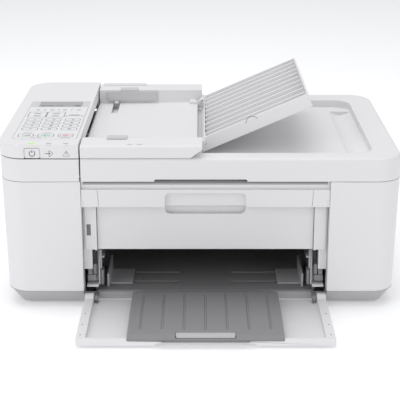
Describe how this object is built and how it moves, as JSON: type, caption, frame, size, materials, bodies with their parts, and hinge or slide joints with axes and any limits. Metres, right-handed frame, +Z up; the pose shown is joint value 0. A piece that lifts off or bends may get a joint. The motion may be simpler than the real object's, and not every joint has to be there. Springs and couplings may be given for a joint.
{
  "type": "inkjet printer",
  "caption": "All-in-one inkjet printer with a sheet feeder, folding front tray, opening panel and covers, sliding carriage and guides.",
  "frame": {"origin": "centre of the footprint with the front tray open, at desk level", "axes": "+X to the printer's right, +Y to its back, +Z up"},
  "size_m": [0.435, 0.397, 0.2321],
  "materials": {
    "case_white": "fine-grained white casing plastic",
    "front_white": "fine-grained off-white plastic",
    "base_grey": "mid-grey textured plastic",
    "inner_grey": "grey moulded plastic",
    "light_grey": "light grey moulded plastic",
    "dark_plastic": "black moulded plastic",
    "lock_grey": "grey plastic",
    "rubber": "matt black rubber",
    "gear_white": "natural white nylon",
    "steel": "zinc-plated steel",
    "absorber": "pressed felt",
    "pad_white": "white foam-backed sheet",
    "board": "green circuit board",
    "glass": "clear float glass",
    "film": "satin polyester film",
    "light_pipe": "clear light guides, the left one lit green"
  },
  "bodies": {
    "printer": {"base_pan": "base_grey", "rubber_feet": "rubber", "main_case": "case_white", "front_frame": "front_white", "tray_hinge_brackets": "inner_grey", "paper_deck": "inner_grey", "side_frames": "light_grey", "feed_motor": "steel", "print_platen": "dark_plastic", "carriage_rail": "steel", "carriage_motor": "steel", "carriage_belt": "rubber", "maintenance_station": "dark_plastic", "ink_absorber": "absorber", "power_supply": "dark_plastic", "logic_board": "board", "rear_sockets": "dark_plastic", "scanner_base": "case_white", "platen_glass": "glass", "pinch_brackets": "steel", "scan_rail": "steel", "lid_hinges": "inner_grey"},
    "front_tray": {"front_tray": "front_white"},
    "output_tray": {"output_tray": "inner_grey"},
    "output_support": {"output_support": "light_grey"},
    "paper_guide_left": {"paper_guide_left": "light_grey"},
    "paper_guide_right": {"paper_guide_right": "light_grey"},
    "output_cover": {"paper_output_cover": "front_white"},
    "rear_cover": {"rear_transport_cover": "case_white"},
    "pickup_arm": {"pickup_arm": "dark_plastic"},
    "pickup_roller": {"pickup_roller": "rubber"},
    "feed_roller": {"feed_roller": "rubber", "feed_gear": "gear_white"},
    "pinch_rollers": {"pinch_rollers": "gear_white"},
    "exit_roller": {"exit_roller": "rubber"},
    "star_wheels": {"star_wheels": "steel"},
    "turn_roller": {"turn_roller": "rubber"},
    "carriage": {"print_carriage": "dark_plastic", "cartridge_black": "dark_plastic", "cartridge_colour": "dark_plastic"},
    "cartridge_lock_left": {"cartridge_lock_left": "lock_grey"},
    "cartridge_lock_right": {"cartridge_lock_right": "lock_grey"},
    "motor_pulley": {"motor_pulley": "gear_white"},
    "idler_pulley": {"idler_pulley": "gear_white"},
    "scan_carriage": {"scan_carriage": "dark_plastic"},
    "lid": {"document_cover": "case_white", "lid_base": "light_grey", "pressure_pad": "pad_white", "feeder_housing": "case_white", "feeder_base": "front_white", "feeder_front_cover": "case_white"},
    "document_tray": {"document_tray": "case_white"},
    "document_guide_front": {"document_guide_front": "light_grey"},
    "document_guide_rear": {"document_guide_rear": "light_grey"},
    "feeder_rollers": {"feeder_rollers": "rubber"},
    "panel": {"panel_housing": "case_white", "keypad_film": "film", "display_and_board": "board", "status_lights": "light_pipe"},
    "power_key": {"power_key": "case_white"}
  },
  "joints": [
    {"name": "front_tray_fold", "type": "hinge", "parent": "printer", "child": "front_tray", "pos_m": [0, -0.09, 0.009], "axis": [1, 0, 0], "range_deg": [-90, 0]},
    {"name": "output_tray_slide", "type": "slide", "parent": "front_tray", "child": "output_tray", "axis": [0, -1, 0], "range_m": [0, 0.09]},
    {"name": "output_support_slide", "type": "slide", "parent": "output_tray", "child": "output_support", "axis": [0, -1, 0], "range_m": [0, 0.09]},
    {"name": "paper_guide_left_slide", "type": "slide", "parent": "printer", "child": "paper_guide_left", "axis": [1, 0, 0], "range_m": [0, 0.058]},
    {"name": "paper_guide_right_slide", "type": "slide", "parent": "printer", "child": "paper_guide_right", "axis": [-1, 0, 0], "range_m": [0, 0.058]},
    {"name": "output_cover_fold", "type": "hinge", "parent": "printer", "child": "output_cover", "pos_m": [0, -0.0799, 0.068], "axis": [1, 0, 0], "range_deg": [0, 90]},
    {"name": "rear_cover_fold", "type": "hinge", "parent": "printer", "child": "rear_cover", "pos_m": [0, 0.1935, 0.0265], "axis": [-1, 0, 0], "range_deg": [0, 90]},
    {"name": "pickup_arm_lift", "type": "hinge", "parent": "printer", "child": "pickup_arm", "pos_m": [0, 0.103, 0.046], "axis": [-1, 0, 0], "range_deg": [0, 12]},
    {"name": "pickup_roller_spin", "type": "hinge", "parent": "pickup_arm", "child": "pickup_roller", "pos_m": [0, 0.065, 0.0244], "axis": [1, 0, 0], "continuous": true},
    {"name": "feed_roller_spin", "type": "hinge", "parent": "printer", "child": "feed_roller", "pos_m": [0, 0.093, 0.055], "axis": [1, 0, 0], "continuous": true},
    {"name": "pinch_roller_spin", "type": "hinge", "parent": "printer", "child": "pinch_rollers", "pos_m": [0, 0.094, 0.066], "axis": [1, 0, 0], "continuous": true},
    {"name": "exit_roller_spin", "type": "hinge", "parent": "printer", "child": "exit_roller", "pos_m": [0, -0.001, 0.056], "axis": [1, 0, 0], "continuous": true},
    {"name": "star_wheel_spin", "type": "hinge", "parent": "printer", "child": "star_wheels", "pos_m": [0, -0.001, 0.0658], "axis": [1, 0, 0], "continuous": true},
    {"name": "turn_roller_spin", "type": "hinge", "parent": "printer", "child": "turn_roller", "pos_m": [0, 0.146, 0.0405], "axis": [1, 0, 0], "continuous": true},
    {"name": "carriage_slide", "type": "slide", "parent": "printer", "child": "carriage", "axis": [-1, 0, 0], "range_m": [0, 0.31]},
    {"name": "cartridge_lock_left_lift", "type": "hinge", "parent": "carriage", "child": "cartridge_lock_left", "pos_m": [0, 0.043, 0.1075], "axis": [-1, 0, 0], "range_deg": [0, 9]},
    {"name": "cartridge_lock_right_lift", "type": "hinge", "parent": "carriage", "child": "cartridge_lock_right", "pos_m": [0, 0.043, 0.1075], "axis": [-1, 0, 0], "range_deg": [0, 9]},
    {"name": "motor_pulley_spin", "type": "hinge", "parent": "printer", "child": "motor_pulley", "pos_m": [-0.1795, 0.121, 0.0935], "axis": [0, 0, 1], "range_deg": [0, 3200]},
    {"name": "idler_pulley_spin", "type": "hinge", "parent": "printer", "child": "idler_pulley", "pos_m": [0.1945, 0.121, 0.0935], "axis": [0, 0, 1], "range_deg": [0, 3200]},
    {"name": "scan_carriage_slide", "type": "slide", "parent": "printer", "child": "scan_carriage", "axis": [1, 0, 0], "range_m": [0, 0.318]},
    {"name": "lid_lift", "type": "hinge", "parent": "printer", "child": "lid", "pos_m": [0, 0.195, 0.15], "axis": [-1, 0, 0], "range_deg": [0, 75]},
    {"name": "document_tray_fold", "type": "hinge", "parent": "lid", "child": "document_tray", "pos_m": [0.002, 0.051, 0.1774], "axis": [0, 1, 0], "range_deg": [-156.5, 0]},
    {"name": "document_guide_front_slide", "type": "slide", "parent": "lid", "child": "document_guide_front", "axis": [0, 1, 0], "range_m": [0, 0.036]},
    {"name": "document_guide_rear_slide", "type": "slide", "parent": "lid", "child": "document_guide_rear", "axis": [0, -1, 0], "range_m": [0, 0.036]},
    {"name": "feeder_roller_spin", "type": "hinge", "parent": "lid", "child": "feeder_rollers", "pos_m": [-0.1685, 0.051, 0.1653], "axis": [0, -1, 0], "continuous": true},
    {"name": "panel_lift", "type": "hinge", "parent": "lid", "child": "panel", "pos_m": [-0.2156, 0.051, 0.175], "axis": [0, -1, 0], "range_deg": [0, 55]},
    {"name": "power_key_press", "type": "slide", "parent": "panel", "child": "power_key", "axis": [0, 1, 0], "range_m": [0, 0.0008], "stiffness_N_per_m": 900}
  ],
  "couplings": [
    {"joint": "paper_guide_right_slide", "follows": "paper_guide_left_slide", "ratio": 1},
    {"joint": "document_guide_rear_slide", "follows": "document_guide_front_slide", "ratio": 1},
    {"joint": "pickup_roller_spin", "follows": "feed_roller_spin", "ratio": 0.59091},
    {"joint": "pinch_roller_spin", "follows": "feed_roller_spin", "ratio": -1.5476},
    {"joint": "exit_roller_spin", "follows": "feed_roller_spin", "ratio": 1.1818},
    {"joint": "star_wheel_spin", "follows": "feed_roller_spin", "ratio": -1.625},
    {"joint": "turn_roller_spin", "follows": "feed_roller_spin", "ratio": 0.325},
    {"joint": "motor_pulley_spin", "follows": "carriage_slide", "rad_per_m": 172.41},
    {"joint": "idler_pulley_spin", "follows": "carriage_slide", "rad_per_m": 172.41}
  ]
}
